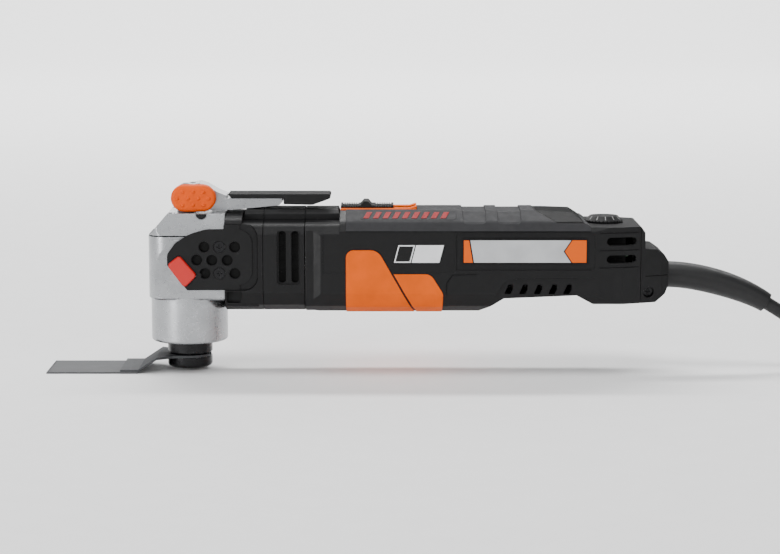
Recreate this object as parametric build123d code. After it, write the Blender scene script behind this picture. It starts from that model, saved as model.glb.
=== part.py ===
from build123d import *
import math
import os

# Oscillating multi tool, millimetres. The origin is on the spindle axis at the accessory seat.
# +X runs along the body towards the cord, +Z is up, and the body is symmetric about Y = 0.

# ---- driving dimensions -------------------------------------------------------------------------
MOTOR_Z = 51.0              # height of the motor axis
HEAD_HALF = 21.3            # half width of the gear head barrel
HEAD_BOTTOM = 7.8
HEAD_SPLIT = 68.2           # parting plane of barrel and cap
CAP_TOP = 80.3
COLLAR_X = (21.6, 42.6)     # front collar
SPINE_X = (31.2, 87.0)      # raised trim on top
SPINE_HALF = 12.5
RING_X = (42.9, 65.4)       # fan housing ring
SHELL_X = (65.8, 250.2)     # motor housing halves
RISE_X = (70.4, 74.8)       # where the housing widens from the ring's width to its own
TAIL_X = 266.5
FRONT_HALF = 26.8           # half width of collar and ring
BODY_HALF = 28.5            # half width of the motor housing
BODY_BOTTOM = 25.6
BODY_TOP = 81.4
WALL = 3.2
GRIP_DEPTH = 1.6            # depth of the overmoulded grips
GRIP_PROUD = 0.5
PLATE_Y = (22.8, 25.6)      # inner and outer face of the side plates
SPINDLE_R = 6.0
SPINDLE_BORE_R = 3.3
FLANGE_R = 12.5
PIN_R = 3.24                # clamp pin, 0.06 mm running clearance in the spindle
BLADE_T = 1.4
BLADE_HALF = 18.0
BLADE_TIP_X = -78.5
FLOOR_Z = -9.1              # underside of the blade strip
LEVER_PIVOT = (-1.0, 88.4)  # X and Z of the lever's hinge axis
LEVER_HALF = 9.0
BUTTON_LONG = 9.8           # distance between the two end arcs of a lock button
BUTTON_R = 7.5
SMALL_BUTTON_R = 4.3        # the button on the right-hand side
BUTTON_FACE = 15.4          # distance of the buttons' outer faces from the middle
DOT_R = 1.15
SHAFT_R = 4.0
ECCENTRICITY = 0.8
DRIVE_BEARING_R = 7.5
FORK_CLEARANCE = 1.8        # each side: eccentric throw plus fork swing
STATOR_R = 22.2
ARMATURE_R = 13.6
CORD_R = 3.75
EXIT_Z = 44.3               # height of the cord where it leaves the tail

# grips and panels
GRIP_START_X = 88.2
SCOOPS = ((152.2, 165.0), (171.2, 184.2), (187.2, 190.6))
BEZEL_X = (84.7, 127.2)     # opening for the switch bezel
BADGE_RECESS = (148.4, 224.6, 50.2, 70.8)       # X range and Z range
BADGE = (151.8, 220.4, 53.8, 67.7)
PANEL = (75.6, 147.9, 48.6, 71.4)
RECESS_DEPTH = 0.8
PANEL_DEPTH = 0.4
REAR_LINES = (51.3, 60.8, 70.4)
LINE_DEPTH = 0.6
TAIL_SCREW = (254.8, 37.0)
TAIL_STEP = (252.6, 60.9)   # where the tail's top steps down behind the housing

# gear head, side plates and vents
CAP_FOOT = 20.6             # half width of the cap where it meets the barrel
CAP_HOLLOW_X = -11.0
HEAD_WALL = 4.0
SEAM = 0.5                  # rebate round the joint of barrel and cap
BOX_BOTTOM = 32.6           # where the square gear case meets the round barrel
CHEEK = [(-17.3, 35.6), (-17.3, 49.0), (-14.6, 58.0), (-8.6, 66.0), (21.4, 66.0), (21.4, 34.2),
         (-14.0, 34.2)]
EAR_R = 4.6
CATCH_X = 8.5
CATCH_R = 2.8
CAP_SCREWS = [(-8.6, -14.6), (-8.6, 14.6), (16.4, -14.6), (16.4, 14.6)]
PLATE_SCREW_X = 18.8
PLATE_SCREW_Z = (62.8, 48.2)
PLATE = [(-9.8, 52.6, 0.5), (-9.8, 58.8, 4.0), (-5.6, 64.6, 9.0), (2.2, 69.6, 14.0), (11.4, 72.4, 16.0),
         (21.2, 72.4, 0.8), (21.2, 75.2, 0.8), (39.7, 75.2, 7.6), (39.7, 39.0, 7.6), (1.0, 38.9, 0.8)]
LENS = [(-9.9, 53.0), (-3.1, 58.3), (6.5, 47.2), (-0.4, 40.2)]
LENS_RIM = 2.0              # solid band of the plate round the lens
VENT_Z = (43.0, 71.6)
VENTS = ((51.3, 55.3), (58.3, 62.3))
VENT_RIM = 0.9

# lever, clamp and blade
CAM_HALF = 3.2
HINGE_PIN_R = 1.95
STEM_X = 8.8
STEM_R = 1.6
STEM_BORE_END = 3.9
DRIVE_PINS = 6
DRIVE_R = 9.2               # pitch circle of the drive pins
STRIP_T = 1.0
TEETH = 18
TOOTH_DEPTH = 1.5
SPINDLE_TOP = 66.0
FORK_END_X = 33.2

# motor, switch and dial
FAN_BLADES = 11
ARMATURE_SLOTS = 12
COIL_OFFSET = 15.6          # height of the field coils above and below the motor axis
BRUSH_X = (135.2, 142.0)
SWITCH_TOP = 82.3
DIAL_X = 231.4
DIAL_R = 10.5
DIAL_Z = (72.6, 77.4)
DIAL_NOTCHES = 30

# cord and plug
CORD_FLOOR = FLOOR_Z + CORD_R + 0.15
RELIEF_POINTS = [(TAIL_X + 0.1, 44.3), (280.0, 43.2), (294.0, 40.2), (309.0, 35.2), (323.0, 28.2)]
RELIEF_RADII = [7.3, 7.3, 7.2, 6.6, 5.6]
CORD_ROUTE = [(323.0, 0.0, 28.2), (341.0, 0.0, 17.2), (357.0, 0.4, 6.2), (372.0, 0.6, -1.8),
              (386.0, 0.8, CORD_FLOOR), (398.0, 0.8, CORD_FLOOR)]
HANK = (398.0, 535.0, 29.0, 30.6)   # X range, half width and height at its end loops
HANK_WAIST = (23.2, 23.2)           # half width and height where the tie draws it in
PLUG_X = (535.0, 581.0)
PLUG_Z = FLOOR_Z + 8.2
PLUG_PIN_Y = 9.5
PLUG_PIN_LENGTH = 19.0

os.makedirs("parts", exist_ok=True)


# ---- helpers ------------------------------------------------------------------------------------
def block(x0, x1, y0, y1, z0, z1):
    centre = Pos((x0 + x1) / 2, (y0 + y1) / 2, (z0 + z1) / 2)
    return centre * Box(x1 - x0, y1 - y0, z1 - z0)


def rod_x(x0, x1, y, z, r):
    return Pos((x0 + x1) / 2, y, z) * Rot(0, 90, 0) * Cylinder(r, x1 - x0)


def rod_y(x, y0, y1, z, r):
    return Pos(x, (y0 + y1) / 2, z) * Rot(90, 0, 0) * Cylinder(r, y1 - y0)


def rod_z(x, y, z0, z1, r):
    return Pos(x, y, (z0 + z1) / 2) * Cylinder(r, z1 - z0)


def tube_x(x0, x1, z, r_out, r_in):
    return rod_x(x0, x1, 0, z, r_out) - rod_x(x0 - 1, x1 + 1, 0, z, r_in)


def tube_z(z0, z1, r_out, r_in):
    return rod_z(0, 0, z0, z1, r_out) - rod_z(0, 0, z0 - 1, z1 + 1, r_in)


def outline(points, radius=0.0, grow=0.0):
    """A closed face through the points, grown outwards by grow, its corners rounded.

    A point may carry its own corner radius as a third value.
    """
    corners = grown([point[:2] for point in points], grow)
    radii = [point[2] if len(point) > 2 else radius for point in points]
    return make_face(FilletPolyline(*corners, radius=radii, close=True))


def grown(points, amount):
    """A polygon's points moved outwards by amount, square to its sides, with mitred corners."""
    area = sum(a[0] * b[1] - b[0] * a[1] for a, b in zip(points, points[1:] + points[:1]))
    outward = amount if area > 0 else -amount
    moved = []
    for a, b, c in zip(points[-1:] + points[:-1], points, points[1:] + points[:1]):
        first = (Vector(*b) - Vector(*a)).normalized()
        second = (Vector(*c) - Vector(*b)).normalized()
        mitre = Vector(first.Y + second.Y, -first.X - second.X)
        shift = mitre * (outward / (1 + first.dot(second)))
        moved.append((b[0] + shift.X, b[1] + shift.Y))
    return moved


def side_prism(face, y0, y1):
    """Extrude an X-Z outline across the body, from Y = y0 to Y = y1."""
    return extrude(Plane.XZ.offset(-y1) * face, amount=y1 - y0)


def plan_prism(face, z0, z1):
    return extrude(Pos(0, 0, z0) * face, amount=z1 - z0)


def cross_prism(face, x0, x1):
    """Extrude a Y-Z outline along the body, from X = x0 to X = x1."""
    return extrude(Plane.YZ.offset(x0) * face, amount=x1 - x0)


def mirrored(half):
    """A symmetric Y-Z or X-Y outline from the points of its right-hand half."""
    return half + [(-a, b) for a, b in reversed(half)]


def both_sides(solid):
    """The solid and its mirror image in the plane Y = 0."""
    return [solid, mirror(solid, about=Plane.XZ)]


def cut_sides(body, tool):
    for piece in both_sides(tool):
        body = body - piece
    return body


def stadium(x, z, length, r):
    """A level slot outline in X-Z with its left arc centred on (x, z)."""
    face = Pos(x, z) * Circle(r) + Pos(x + length, z) * Circle(r)
    return face + Pos(x + length / 2, z) * Rectangle(length, 2 * r)


def screw_y(x, z, y_face, length, head_r):
    """A pan-head cross screw driven in along Y from the side face at -y_face."""
    head = rod_y(x, -y_face, -y_face + 1.6, z, head_r)
    shank = rod_y(x, -y_face + 1.6, -y_face + length, z, head_r * 0.5)
    slots = block(x - 1.5, x + 1.5, -y_face, -y_face + 0.9, z - 0.3, z + 0.3)
    slots = slots + block(x - 0.3, x + 0.3, -y_face, -y_face + 0.9, z - 1.5, z + 1.5)
    return head + shank - slots


def save(name, *solids):
    parts = []
    for solid in solids:
        parts += list(solid.solids())
    shape = parts[0] if len(parts) == 1 else Compound(children=parts)
    export_step(shape, f"parts/{name}.step")


# ---- outer form of the body ---------------------------------------------------------------------
def section(half_width, bottom, shoulder, top, top_half):
    """Half of the body's cross-section: bottom flat, tumblehome side, shoulder and top flat."""
    return [
        (half_width * 0.46, bottom),
        (half_width * 0.86, bottom + 4.2),
        (half_width, bottom + 11.5),
        (half_width, shoulder - 5.5),
        (half_width * 0.87, shoulder),
        (top_half, top),
    ]


def front_form(x0, x1, inset=0.0, top=76.4, half_width=FRONT_HALF):
    """Cross-section of the collar, the ring and the front of the housing, under the spine."""
    face = outline(mirrored(section(half_width, 26.2, top - 1.6, top, 11.0)), 2.4, -inset)
    return cross_prism(face, x0, x1)


def body_form(inset=0.0):
    """The motor housing and tail: cross-section, side profile and plan intersected."""
    cross = outline(mirrored(section(BODY_HALF, BODY_BOTTOM, 76.4, BODY_TOP, 12.0)), 4.0, -inset)
    side = outline([
        (SHELL_X[0], BODY_BOTTOM + 0.6), (RISE_X[0], BODY_BOTTOM + 0.7), (RISE_X[1], BODY_BOTTOM - 0.2),
        (161.0, BODY_BOTTOM - 0.2),
        (174.8, 34.6), (214.5, 36.4), (223.7, 31.2), (258.8, 31.2), (264.5, 35.5),
        (TAIL_X, 40.0), (TAIL_X, 53.3), (263.8, 57.4), (259.4, 60.5), (254.9, 60.8),
        (253.8, 68.4), (250.2, 73.5), (221.5, 73.8), (212.5, BODY_TOP - 0.8),
        (192.0, BODY_TOP + 0.2), (RISE_X[1], BODY_TOP + 0.2), (RISE_X[0], BODY_TOP - 2.6),
        (SHELL_X[0], BODY_TOP - 2.7),
    ], 0.9, -inset)
    plan = outline([
        (SHELL_X[0] - 0.2, FRONT_HALF), (RISE_X[0], FRONT_HALF + 0.1), (RISE_X[1], BODY_HALF + 0.2),
        (222.0, BODY_HALF + 0.2),
        (240.0, 25.5), (252.0, 21.0), (262.0, 16.5), (TAIL_X + 0.2, 13.0),
        (TAIL_X + 0.2, -13.0), (262.0, -16.5), (252.0, -21.0), (240.0, -25.5),
        (222.0, -BODY_HALF - 0.2), (RISE_X[1], -BODY_HALF - 0.2), (RISE_X[0], -FRONT_HALF - 0.1),
        (SHELL_X[0] - 0.2, -FRONT_HALF),
    ], 0.9, -inset)
    form = cross_prism(cross, SHELL_X[0] - 1, TAIL_X + 1)
    return (form & plan_prism(plan, -1, 121)) & side_prism(side, -40, 40)


BODY = body_form()
PROUD = body_form(-GRIP_PROUD)
RECESSED = body_form(GRIP_DEPTH)
CAVITY = body_form(WALL) - block(60, 92, -40, 40, 73.2, 90)
OUTER_LAYER = PROUD - body_form(GRIP_PROUD - 0.2)   # 0.7 mm deep skin of the soft grip


def finish_top_grip(grip):
    """Finger scoops across the top, and openings for the switch and the dial."""
    for x0, x1 in SCOOPS:
        scoop = outline([(x0, 75.6), (x1, 75.6), (x1, 95), (x0, 95)], 2.2)
        grip = grip - (OUTER_LAYER & side_prism(scoop, -40, 40))
    grip = grip - block(*BEZEL_X, -10.7, 10.7, 70, 95)
    return grip - rod_z(DIAL_X, 0, 60, 95, DIAL_R + 0.4)


def make_grips():
    """Overmoulded grips, each one a saddle round the housing."""
    top_zone = outline([(GRIP_START_X, 71.8), (GRIP_START_X, 95), (190.6, 95), (191.6, 81.5), (203.4, 75.8),
                        (221.8, 75.6), (221.8, 71.8)])
    front_zone = outline([(GRIP_START_X, 20), (GRIP_START_X, 61.4, 4.2), (105.6, 61.4, 7.0),
                          (125.4, 26.4), (127.0, 20)])
    rear_zone = outline([(126.6, 26.4), (114.3, 48.2), (134.6, 48.2, 5.5), (141.4, 37.4, 4.5), (140.8, 20),
                         (128.2, 20)])
    shells = {}
    skin = PROUD - RECESSED
    shells["top_grip"] = skin & side_prism(top_zone, -40, 40)
    shells["front_grip"] = skin & side_prism(front_zone, -40, 40)
    shells["rear_grip"] = skin & side_prism(rear_zone, -40, 40)
    return shells


def make_housing(grips):
    shell = BODY - CAVITY - rod_x(60, 80, 0, MOTOR_Z, STATOR_R + 0.4)
    low_front = front_form(60, BEZEL_X[0] + 0.1, 0.0, 76.6, BODY_HALF)
    shell = shell - (block(60, BEZEL_X[0], -40, 40, 60, 90) - low_front)
    for grip in grips.values():
        shell = shell - grip
    x0, x1, z0, z1 = BADGE_RECESS
    badge = outline([(x0, z0), (x1, z0, 2.6), (x1, z1, 2.6), (x0, z1)], 0.8)
    shell = cut_sides(shell, side_prism(badge, -40, -BODY_HALF + RECESS_DEPTH))
    x0, x1, z0, z1 = PANEL
    panel = outline([(x0, z0), (x1, z0), (x1, z1), (x0, z1)], 0.6)
    shell = cut_sides(shell, side_prism(panel, -40, -BODY_HALF + PANEL_DEPTH))
    # upright and level panel lines behind the orange grips
    seam = outline([(143.6, 26), (143.6, 43.0), (146.6, 47.4), (160.0, 47.8), (160.0, 48.4),
                    (146.2, 48.0), (143.0, 43.2), (143.0, 26)])
    shell = cut_sides(shell, side_prism(seam, -40, -BODY_HALF + 0.6))
    # stepped-in belly with the bottom air outlets, leaning back
    belly = outline([(163.4, 20), (163.4, 26.4), (175.0, 43.8, 3.0), (183.0, 45.8, 4.0), (252.0, 46.4),
                     (252.0, 42.6), (232.0, 41.4, 4.0), (224.6, 31.0), (224.6, 20)])
    shell = cut_sides(shell, side_prism(belly, -40, -BODY_HALF + 0.7))
    for i in range(5):
        x = 176.8 + 8.05 * i
        slot = outline([(x - 2.0, 37.0), (x + 1.5, 37.0), (x + 2.8, 39.6), (x + 2.8, 42.4),
                        (x + 0.4, 42.4)], 0.6)
        shell = cut_sides(shell, side_prism(slot, -40, -10))
    # rear side air inlets
    for z in (65.9, 56.1):
        shell = cut_sides(shell, side_prism(stadium(233.1, z, 12.2, 2.2), -40, -8))
    # level lines round the rear end, and the tail's parting line
    lines = block(253.0, TAIL_X + 1, -40, 40, 45.8, 46.3)
    for z in REAR_LINES:
        lines = lines + block(227.0, SHELL_X[1] - 1.5, -40, 40, z, z + 0.5)
    shell = shell - (lines - body_form(LINE_DEPTH))
    # switch slot, dial opening and cable opening to the tail
    shell = shell - block(85.5, 127.5, -4.2, 4.2, 70, 90)
    shell = shell - block(*BEZEL_X, -10.7, 10.7, BODY_TOP - 0.9, 90)
    shell = shell - rod_z(DIAL_X, 0, 68, 90, DIAL_R + 0.4)
    # rear top cover seat
    shell = shell - rear_cover_form()
    front = shell & block(SHELL_X[0], SHELL_X[1] - 0.2, -40, 40, 0, 120)
    tail = shell & block(SHELL_X[1] + 0.1, TAIL_X + 5, -40, 40, 0, 120)
    tail = tail + (BODY & block(SHELL_X[1] + 0.1, TAIL_STEP[0], -40, 40, TAIL_STEP[1] - 4, 73))
    tail = tail - block(TAIL_STEP[0], TAIL_X, -40, 40, TAIL_STEP[1], 90)
    x, z = TAIL_SCREW
    tail = cut_sides(tail, rod_y(x, -40, -13.9, z, 3.1)) - rod_y(x, -14, 14, z, 1.5)
    tail = tail - rod_x(260, 270, 0, EXIT_Z, 6.6) - rod_x(246, 262, 0, EXIT_Z, CORD_R + 0.3)
    left = front & block(0, 300, -60, -0.05, 0, 120)
    return left, mirror(left, about=Plane.XZ), tail


def rear_cover_form():
    zone = outline([(192.0, 95), (192.6, 81.5), (204.0, 76.0), (221.2, 76.0), (221.2, 95)])
    return (BODY - RECESSED) & side_prism(zone, -40, 40)


# ---- gear head ----------------------------------------------------------------------------------
def head_plan(grow=0.0):
    plan = [(-HEAD_HALF, -HEAD_HALF), (21.4, -HEAD_HALF), (21.4, HEAD_HALF), (-HEAD_HALF, HEAD_HALF)]
    face = outline(plan, 0.0, grow)
    corners = face.vertices().sort_by(Axis.X)
    return fillet(corners[:2], 10.6 + grow)


def make_gear_head():
    barrel = rod_z(0, 0, HEAD_BOTTOM, 40, HEAD_HALF)
    low_edge = barrel.edges().filter_by(lambda e: e.center().Z < HEAD_BOTTOM + 0.01)
    barrel = fillet(low_edge.filter_by(GeomType.CIRCLE), 1.4)
    box = plan_prism(head_plan(), BOX_BOTTOM, HEAD_SPLIT)
    box = chamfer(box.edges().filter_by(lambda e: e.center().Z < BOX_BOTTOM + 0.01), 1.0)
    barrel = barrel + box
    cheek = side_prism(outline(CHEEK, 1.2), -PLATE_Y[0], -HEAD_HALF + 3)
    for side in both_sides(cheek):
        barrel = barrel + side
    barrel = barrel - plan_prism(head_plan(-HEAD_WALL), BOX_BOTTOM + 3, HEAD_SPLIT + 1)
    rebate = plan_prism(head_plan(2.0), HEAD_SPLIT - SEAM, HEAD_SPLIT + 1)
    barrel = barrel - (rebate - plan_prism(head_plan(-SEAM), HEAD_SPLIT - 1, HEAD_SPLIT + 2))
    barrel = barrel - rod_z(0, 0, 24.0, BOX_BOTTOM + 4, HEAD_HALF - HEAD_WALL)
    barrel = barrel - rod_z(0, 0, 0, 30, SPINDLE_R + 0.3)
    barrel = barrel - rod_z(0, 0, 15.0, 30, 11.0)
    barrel = barrel - rod_z(0, 0, 9.6, 16, 9.0)
    barrel = barrel - rod_x(10, 30, 0, MOTOR_Z, 16.0)
    for z in PLATE_SCREW_Z:
        barrel = cut_sides(barrel, rod_y(PLATE_SCREW_X, -30, -14, z, 1.55))
    return barrel


def make_cap():
    cap = plan_prism(head_plan(), HEAD_SPLIT + 0.1, CAP_TOP)
    profile = outline([(-CAP_FOOT, 60), (-CAP_FOOT, HEAD_SPLIT), (-10.9, CAP_TOP - 0.8), (-9.8, CAP_TOP),
                       (25, CAP_TOP), (25, 60)])
    cap = cap & side_prism(profile, -30, 30)
    cross = outline(mirrored([(CAP_FOOT, 60), (CAP_FOOT, HEAD_SPLIT), (HEAD_HALF - 3.2, CAP_TOP)]))
    cap = cap & cross_prism(cross, -30, 30)
    # hollow, but solid behind the sloping front
    hollow = plan_prism(head_plan(-HEAD_WALL), HEAD_SPLIT - 1, CAP_TOP - 5.3)
    cap = cap - (hollow & block(CAP_HOLLOW_X, 30, -30, 30, 60, 90))
    # two ears carry the lever's hinge pin
    px, pz = LEVER_PIVOT
    left, right = px - EAR_R, px + EAR_R
    ear = outline([(left, CAP_TOP - 2), (right, CAP_TOP - 2), (right, pz), (left, pz)])
    ear_face = ear + Pos(px, pz) * Circle(EAR_R)
    for side in both_sides(side_prism(ear_face, -6.6, -3.6)):
        cap = cap + side
    cap = cap - rod_y(px, -10, 10, pz, 2.0)
    cap = cap - rod_z(0, 0, 70, 90, 3.4)
    cap = cap - rod_y(CATCH_X, -30, 30, CAP_TOP, CATCH_R + 0.2)
    for x, y in CAP_SCREWS:
        cap = cap - rod_z(x, y, 60, 90, 1.6) - rod_z(x, y, CAP_TOP - 4.4, 90, 2.9)
    return cap


def make_catch_bar():
    bar = rod_y(CATCH_X, -20.0, 20.0, CAP_TOP, CATCH_R)
    return bar & block(0, 20, -30, 30, 60, CAP_TOP - 0.1)


def make_cap_screws():
    screws = []
    for x, y in CAP_SCREWS:
        screw = rod_z(x, y, CAP_TOP - 4.3, CAP_TOP - 1.4, 2.8) + rod_z(x, y, HEAD_SPLIT + 0.6, CAP_TOP - 4.3, 1.5)
        hexagon = RegularPolygon(1.35, 6)
        screws.append(screw - plan_prism(Pos(x, y) * hexagon, CAP_TOP - 3.2, CAP_TOP))
    return screws


def make_side_plate():
    plate = side_prism(outline(PLATE), -PLATE_Y[1], -PLATE_Y[0] - 0.05)
    for x, z in [(10.5, 62.8), (27.3, 62.8), (14.7, 55.5), (23.1, 55.5), (27.3, 48.2)]:
        plate = plate - rod_y(x, -30, -PLATE_Y[0] - 0.8, z, 3.0)
    for x, z in [(6.4, 55.6), (10.9, 48.2)]:
        notch = side_prism(Pos(x, z) * Circle(3.0), -30, -PLATE_Y[0] - 0.8)
        plate = plate - (notch - side_prism(outline(LENS, 1.0, LENS_RIM), -31, -20))
    for z in PLATE_SCREW_Z:
        plate = plate - rod_y(PLATE_SCREW_X, -30, -20, z, 1.7) - rod_y(PLATE_SCREW_X, -30, -23.9, z, 3.3)
    band = side_prism(outline(PLATE), -30, -PLATE_Y[1] + 0.7)
    band = band - side_prism(outline(PLATE, grow=-2.9), -31, -20)
    plate = plate - (band & block(30.0, 45.0, -31, -20, 30, 80))
    return plate - side_prism(outline(LENS, 1.8, 0.15), -30, -20)


def make_lens():
    lens = side_prism(outline(LENS, 2.0), -27.4, -PLATE_Y[0] - 0.1)
    front = lens.faces().sort_by(Axis.Y)[0]
    return fillet(front.edges(), 0.9)


def make_plate_screws():
    screws = []
    for z in PLATE_SCREW_Z:
        screws += both_sides(screw_y(PLATE_SCREW_X, z, 25.5, 9.0, 3.1))
    return screws


def make_collar():
    collar = front_form(*COLLAR_X) + front_form(COLLAR_X[0], SPINE_X[0] - 0.1, 0.0, 79.6)
    collar = collar - front_form(COLLAR_X[0] - 1, COLLAR_X[1] + 1, 3.0)
    collar = cut_sides(collar, side_prism(outline(PLATE, grow=0.2), -40, -PLATE_Y[0]))
    web = front_form(COLLAR_X[0], COLLAR_X[1], 2.5) & block(40.2, COLLAR_X[1], -40, 40, 0, 120)
    collar = collar + (web - rod_x(20, 50, 0, MOTOR_Z, 20.0))
    for backing in both_sides(block(22.0, 40.2, -PLATE_Y[0] + 0.1, -19.6, 29.5, 74)):
        collar = collar + backing
    # clip pocket low on each side
    pocket = outline([(22.6, 31.6), (30.0, 31.6), (31.6, 38.4), (22.6, 38.4)], 1.0)
    return cut_sides(collar, side_prism(pocket, -40, -20.6))


def make_fan_housing():
    ring = front_form(*RING_X) - front_form(RING_X[0] - 1, RING_X[1] + 1, 3.0)
    x0, x1 = VENTS[0][0], VENTS[1][1]
    mouth = outline([(x0, VENT_Z[0]), (x1, VENT_Z[0]), (x1, VENT_Z[1]), (x0, VENT_Z[1])], 1.9, VENT_RIM)
    ring = cut_sides(ring, side_prism(mouth, -40, -FRONT_HALF + 1.5))
    for x0, x1 in VENTS:
        slot = outline([(x0, VENT_Z[0]), (x1, VENT_Z[0]), (x1, VENT_Z[1]), (x0, VENT_Z[1])], 1.8)
        ring = cut_sides(ring, side_prism(slot, -40, -18))
    return ring


def make_spine():
    """Raised trim along the top, from the collar to the switch, cut off on a slant at its end."""
    cross = outline(mirrored([(SPINE_HALF, 70.0), (SPINE_HALF, 79.8), (9.6, BODY_TOP + 0.4)]), 0.9)
    spine = cross_prism(cross, *SPINE_X)
    side = outline([(29, 72), (SPINE_X[0], 76.5), (33.4, 84), (83.2, 84), (84.5, 78.6), (84.5, 72)])
    spine = spine & side_prism(side, -20, 20)
    spine = spine - front_form(20, SHELL_X[0] - 0.1, -0.1)
    core = outline(mirrored([(SPINE_HALF - 0.5, 70.0), (SPINE_HALF - 0.5, 79.5), (9.2, BODY_TOP - 0.1)]))
    for x in (COLLAR_X[1], RING_X[1]):
        spine = spine - (block(x, x + 0.4, -20, 20, 70, 90) - cross_prism(core, x - 1, x + 1))
    return spine - front_form(SHELL_X[0] - 0.2, 95, -0.1, 76.6, BODY_HALF)


# ---- lever and clamp ----------------------------------------------------------------------------
def make_lever():
    px, pz = LEVER_PIVOT
    arm = outline([
        (px, pz + 6.6), (6.8, 96.2), (10.6, 95.0), (17.2, 91.2), (22.0, 89.4), (22.0, 87.8),
        (52.4, 87.8), (53.0, 86.2), (51.0, 84.0), (24.0, 81.3), (12.6, 81.3), (12.4, 84.6),
        (px, pz - 6.6),
    ], 0.5)
    face = arm + Pos(px, pz) * Circle(6.6)
    lever = side_prism(face, -LEVER_HALF, LEVER_HALF)
    for side in both_sides(rod_y(px, -7.0, -3.2, pz, 7.8)):
        lever = lever - side
    # the cam between the ears: round, 1.5 mm above the hinge axis
    core = rod_y(px, -CAM_HALF, CAM_HALF, pz, 9.0)
    cam = rod_y(px, -CAM_HALF, CAM_HALF, pz + 1.5, 5.8)
    lever = lever - core + cam
    web = outline([(px + 2, pz + 1), (px + 2, pz + 6.2), (9.0, 94.0), (9.0, pz - 2.4)])
    lever = lever + side_prism(web, -CAM_HALF, CAM_HALF)
    lever = lever - rod_y(px, -12, 12, pz, HINGE_PIN_R + 0.05)
    for side in both_sides(rod_y(STEM_X, -12, -STEM_BORE_END, pz, STEM_R + 0.06)):
        lever = lever - side
    return lever


def make_lever_pad():
    side = outline([(22.4, 90.2), (24.6, 87.9), (53.3, 87.9), (53.5, 84.6), (69.4, 84.2),
                    (76.2, 86.6, 2.2), (79.4, 87.9, 1.2), (79.4, 90.2, 1.1)], 0.25)
    return side_prism(side, -LEVER_HALF - 0.4, LEVER_HALF + 0.4)


def make_button(radius, rounding):
    """A lock button's oval head and its stem; the large one has raised grip dots."""
    px, pz = LEVER_PIVOT
    button = side_prism(stadium(px, pz, BUTTON_LONG, radius), -BUTTON_FACE, -10.7)
    front = button.faces().sort_by(Axis.Y)[0]
    button = fillet(front.edges(), rounding)
    for row, count in ((-1, 3), (0, 4), (1, 3)):
        for i in range(count if radius == BUTTON_R else 0):
            x = px + BUTTON_LONG / 2 + (i - (count - 1) / 2) * 5.8
            button = button + Pos(x, -BUTTON_FACE + 0.35, pz + 3.6 * row) * Sphere(DOT_R)
    return button + rod_y(STEM_X, -10.8, -STEM_BORE_END - 2.6, pz, STEM_R)


def make_coil_spring(r_coil, r_wire, length, turns):
    helix = Helix(length / turns, length, r_coil)
    profile = Plane(origin=helix @ 0, z_dir=helix % 0) * Circle(r_wire)
    return sweep(profile, path=helix)


def make_clamp_pin():
    foot = rod_z(0, 0, -7.4, -BLADE_T - 0.15, FLANGE_R)
    foot = fillet(foot.edges().filter_by(lambda e: e.center().Z < -7.3), 2.2)
    foot = foot - block(-8.0, -4.8, -14, -11.0, -5.6, -2.8)
    pin = foot + rod_z(0, 0, -2, 83.8, PIN_R)
    return pin + rod_z(0, 0, 71.6, 73.4, 6.0)


def make_blade_holder():
    hub = plan_prism(Circle(12.2), -BLADE_T - 0.05, -0.05)
    neck = plan_prism(outline([(-17.2, -BLADE_HALF), (-17.2, BLADE_HALF), (-8.6, 12.4), (0, 12.2),
                               (0, -12.2), (-8.6, -12.4)]), -BLADE_T - 0.05, -0.05)
    slope = outline([(-17.2, -BLADE_T - 0.05), (-17.2, -0.05), (-27.6, FLOOR_Z + 2.2),
                     (-37.6, FLOOR_Z + 2.2), (-37.6, FLOOR_Z + STRIP_T), (-27.2, FLOOR_Z + STRIP_T)])
    holder = hub + neck + side_prism(slope, -BLADE_HALF, BLADE_HALF)
    holder = holder - rod_z(0, 0, -3, 1, PIN_R + 0.4) - block(0, 14, -PIN_R - 0.4, PIN_R + 0.4, -3, 1)
    for i in range(DRIVE_PINS):
        angle = math.radians(30 + 360 / DRIVE_PINS * i)
        holder = holder - rod_z(DRIVE_R * math.cos(angle), DRIVE_R * math.sin(angle), -3, 1, 1.6)
    return holder


def make_blade_strip():
    strip = block(BLADE_TIP_X, -27.8, -BLADE_HALF, BLADE_HALF, FLOOR_Z, FLOOR_Z + STRIP_T)
    pitch = 2 * BLADE_HALF / TEETH
    for i in range(TEETH):
        y = -BLADE_HALF + pitch * i
        notch = outline([(BLADE_TIP_X - 1, y), (BLADE_TIP_X, y), (BLADE_TIP_X + TOOTH_DEPTH, y + pitch / 2),
                         (BLADE_TIP_X, y + pitch), (BLADE_TIP_X - 1, y + pitch)])
        strip = strip - plan_prism(notch, FLOOR_Z - 1, FLOOR_Z + 3)
    return strip


def make_spindle():
    spindle = rod_z(0, 0, 0, SPINDLE_TOP, SPINDLE_R) + rod_z(0, 0, 0, 7.2, FLANGE_R)
    spindle = chamfer(spindle.edges().filter_by(
        lambda e: e.center().Z < 0.01 and e.radius > 10), 1.2)
    for i in range(DRIVE_PINS):
        angle = math.radians(30 + 360 / DRIVE_PINS * i)
        spindle = spindle + rod_z(DRIVE_R * math.cos(angle), DRIVE_R * math.sin(angle), -1.2, 0.5, 1.4)
    return spindle - rod_z(0, 0, -5, 70, SPINDLE_BORE_R)


def make_fork():
    inner = DRIVE_BEARING_R + FORK_CLEARANCE
    fork = tube_z(MOTOR_Z - 8, MOTOR_Z + 8, 10.5, SPINDLE_R)
    for arm in both_sides(block(4.0, FORK_END_X, -inner - 4, -inner, MOTOR_Z - 6, MOTOR_Z + 6)):
        fork = fork + arm
    fork = fork + block(8.0, 13.0, -inner - 2, inner + 2, MOTOR_Z - 6, MOTOR_Z + 6)
    return fork - rod_z(0, 0, 30, 70, SPINDLE_R)


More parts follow.
